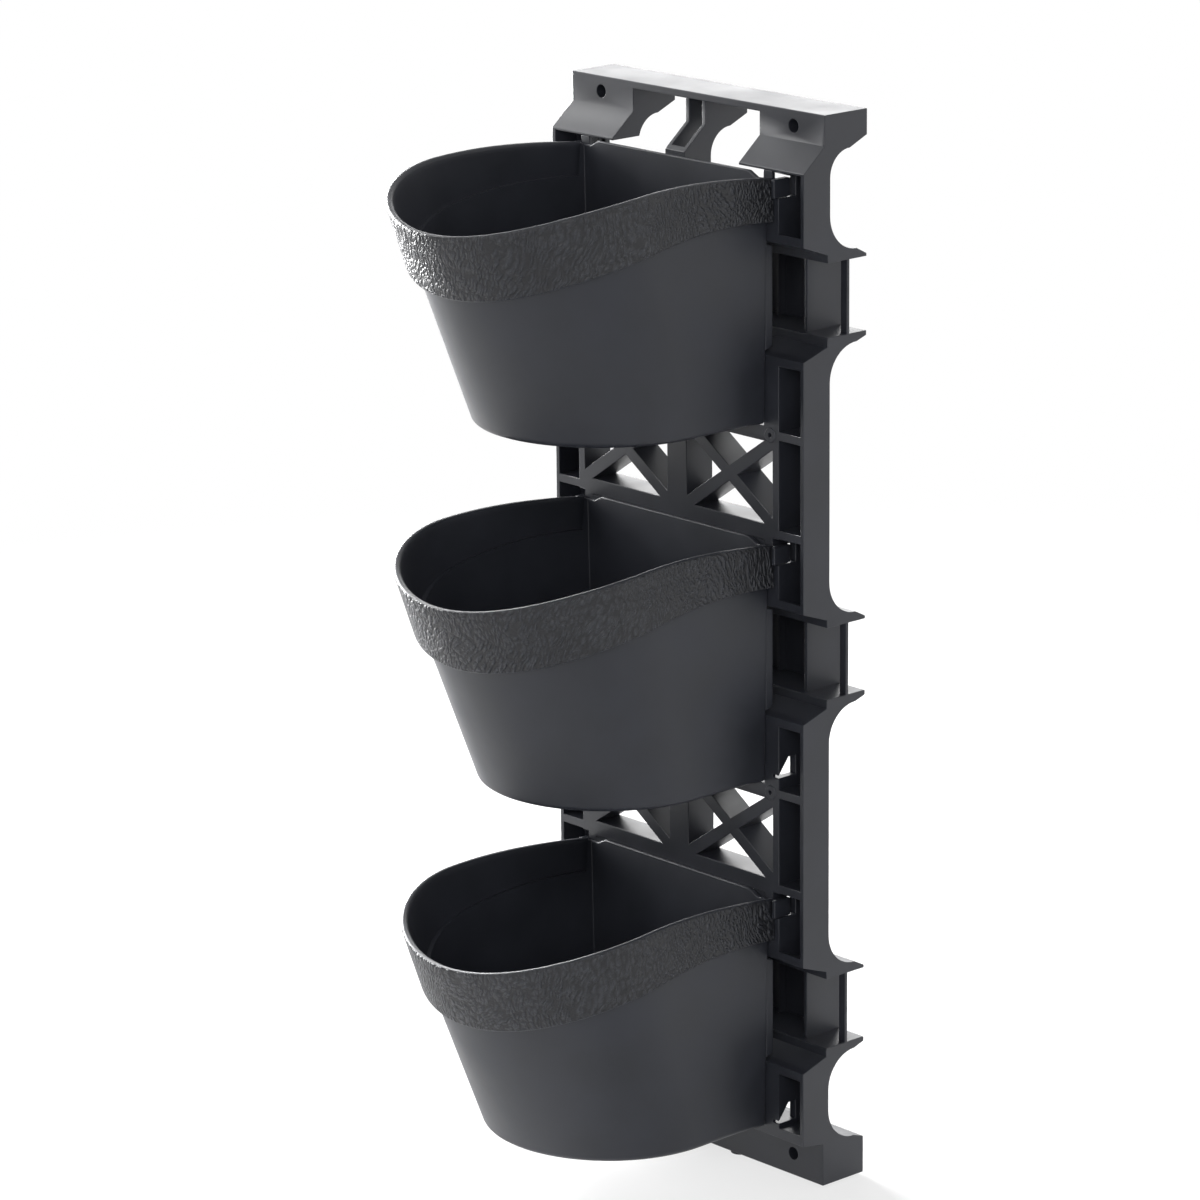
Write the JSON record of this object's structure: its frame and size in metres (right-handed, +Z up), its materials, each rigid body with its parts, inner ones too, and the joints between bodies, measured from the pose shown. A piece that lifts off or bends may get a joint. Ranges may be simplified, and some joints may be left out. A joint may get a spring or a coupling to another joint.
{
  "type": "vertical garden planter",
  "caption": "Tall open wall frame with lattice bays and a hooded recess on each tier, each holding a lift-off round-fronted pot with a grained collar",
  "frame": {"origin": "on the wall plane, at the middle of the lower rear edge of the bottom bar", "axes": "+X to the right along the frame's width, +Y into the wall, +Z up; the pots face -Y"},
  "size_m": [0.22, 0.2458, 0.6668],
  "materials": {
    "frame": "dark grey moulded plastic, satin",
    "pot": "anthracite moulded plastic, satin",
    "collar": "anthracite moulded plastic with a pebbled grain"
  },
  "bodies": {
    "wall_frame": {"rail_left": "frame", "rail_right": "frame", "post_left": "frame", "post_right": "frame", "channel_left": "frame", "channel_right": "frame", "centre_post": "frame", "top_bar": "frame", "bottom_bar": "frame", "ledge_1": "frame", "ledge_2": "frame", "ledge_3": "frame", "hood_1": "frame", "hood_2": "frame", "hood_3": "frame", "recess_back_1": "frame", "recess_back_2": "frame", "recess_back_3": "frame", "lattice_left_1": "frame", "lattice_right_1": "frame", "lattice_left_2": "frame", "lattice_right_2": "frame"},
    "pot_low": {"pot_shell_1": "pot", "collar_1": "collar", "hanger_1": "pot"},
    "pot_mid": {"pot_shell_2": "pot", "collar_2": "collar", "hanger_2": "pot"},
    "pot_top": {"pot_shell_3": "pot", "collar_3": "collar", "hanger_3": "pot"}
  },
  "joints": [
    {"name": "pot_low_lift", "type": "slide", "parent": "wall_frame", "child": "pot_low", "axis": [0, -0.9511, 0.309], "range_m": [0, 0.25]},
    {"name": "pot_mid_lift", "type": "slide", "parent": "wall_frame", "child": "pot_mid", "axis": [0, -0.9511, 0.309], "range_m": [0, 0.25]},
    {"name": "pot_top_lift", "type": "slide", "parent": "wall_frame", "child": "pot_top", "axis": [0, -0.9511, 0.309], "range_m": [0, 0.25]}
  ]
}
